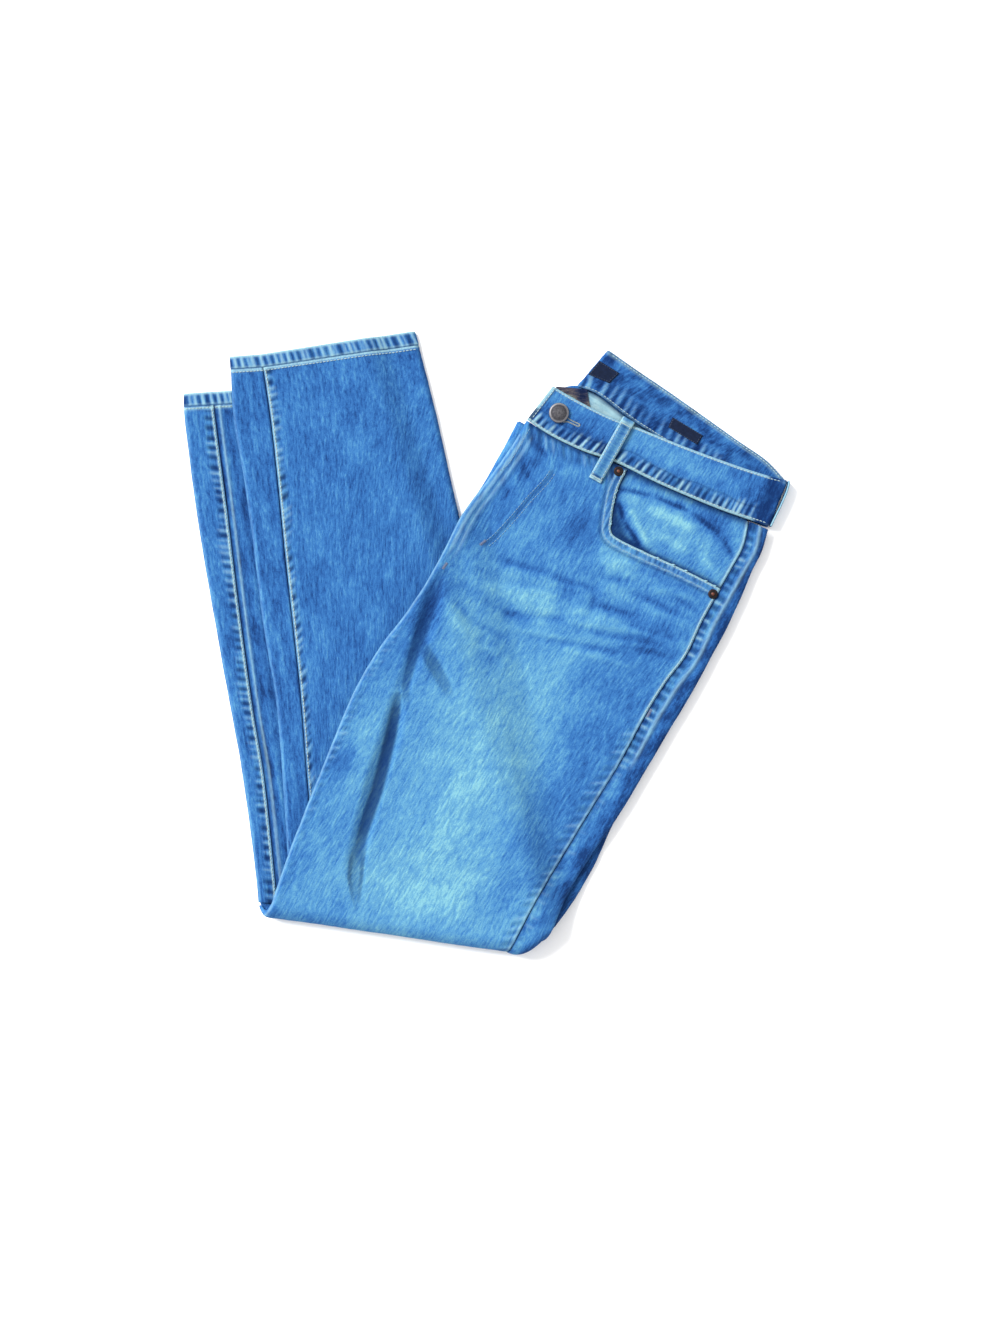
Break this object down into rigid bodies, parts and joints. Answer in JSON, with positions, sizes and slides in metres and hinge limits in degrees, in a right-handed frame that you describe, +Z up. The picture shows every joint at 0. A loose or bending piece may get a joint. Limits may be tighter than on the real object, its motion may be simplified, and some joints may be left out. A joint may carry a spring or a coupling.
{
  "type": "folded slim fit jeans",
  "caption": "Slim fit washed denim jeans, folded in half down the centre and under at the knees, lying flat with both hems out at the upper left.",
  "frame": {"origin": "on the surface the jeans lie on, under the middle of their bounding box", "axes": "+X to the right of the picture, towards the side seam end of the waistband; +Y to the top of the picture, towards the hems; +Z up, out of the surface"},
  "size_m": [0.569, 0.5838, 0.0262],
  "materials": {
    "denim": "washed light indigo twill, matt, faded on the thigh and at the folds",
    "denim_inside": "pale undyed side of the denim, matt",
    "label_cloth": "dark navy woven label, smooth, bare",
    "antique_metal": "dark antiqued metal, satin",
    "rivet_copper": "dark copper, worn bright at the centre"
  },
  "bodies": {
    "root": {"front_left": "denim", "back_left": "denim", "pocket_facing_left": "denim", "back_left_inside": "denim_inside", "waistband": "denim", "belt_loop_front": "denim", "belt_loop_side": "denim", "front_right_shin": "denim", "back_right_shin": "denim", "hem_right": "denim", "front_left_shin": "denim", "back_left_shin": "denim", "hem_left": "denim", "hidden_layers": "denim", "label_waist": "label_cloth", "label_size": "label_cloth", "button": "antique_metal", "rivet_upper": "rivet_copper", "rivet_lower": "rivet_copper"}
  },
  "joints": []
}
